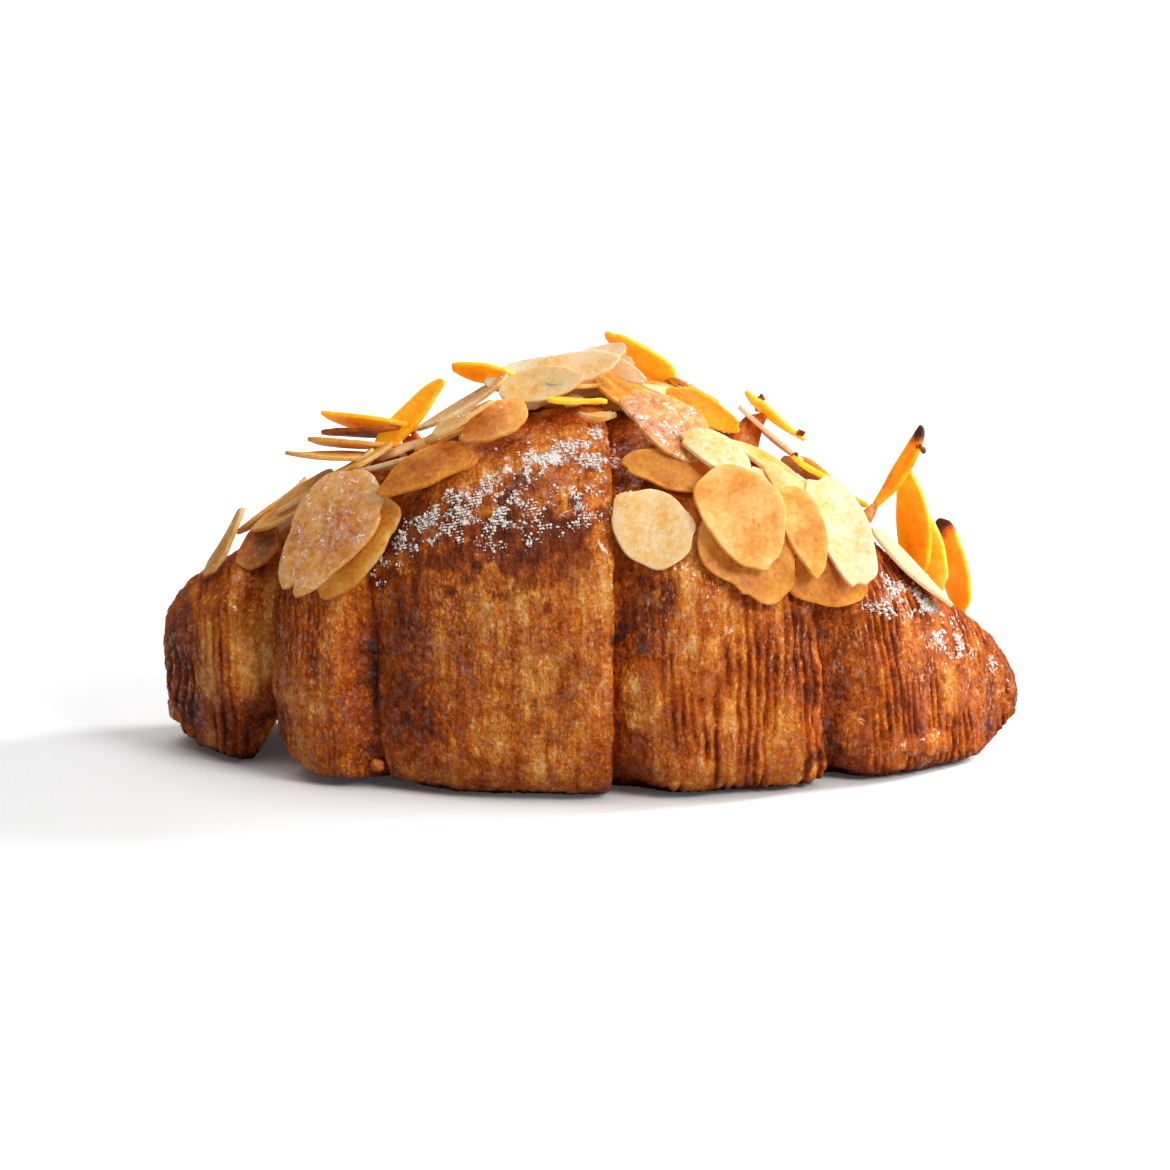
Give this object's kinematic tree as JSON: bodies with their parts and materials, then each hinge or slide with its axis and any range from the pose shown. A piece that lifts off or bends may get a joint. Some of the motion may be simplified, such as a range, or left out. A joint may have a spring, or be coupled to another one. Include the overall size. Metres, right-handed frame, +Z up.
{
  "type": "almond croissant",
  "caption": "Baked almond croissant: a bent, rolled and layered loaf with a high crown, low tips and sliced almonds baked onto its top, standing on a flat base.",
  "frame": {"origin": "on the flat base, below the middle of the loaf, where its bend is deepest", "axes": "+X along the loaf towards its low tip, +Z up, -Y towards the outer side of the bend"},
  "size_m": [0.1483, 0.0667, 0.0735],
  "materials": {
    "crust": "glossy baked crust, mottled brown",
    "almond": "toasted almond slices, satin",
    "sugar": "matt icing sugar"
  },
  "bodies": {
    "root": {"almond_croissant": "crust"}
  },
  "joints": []
}
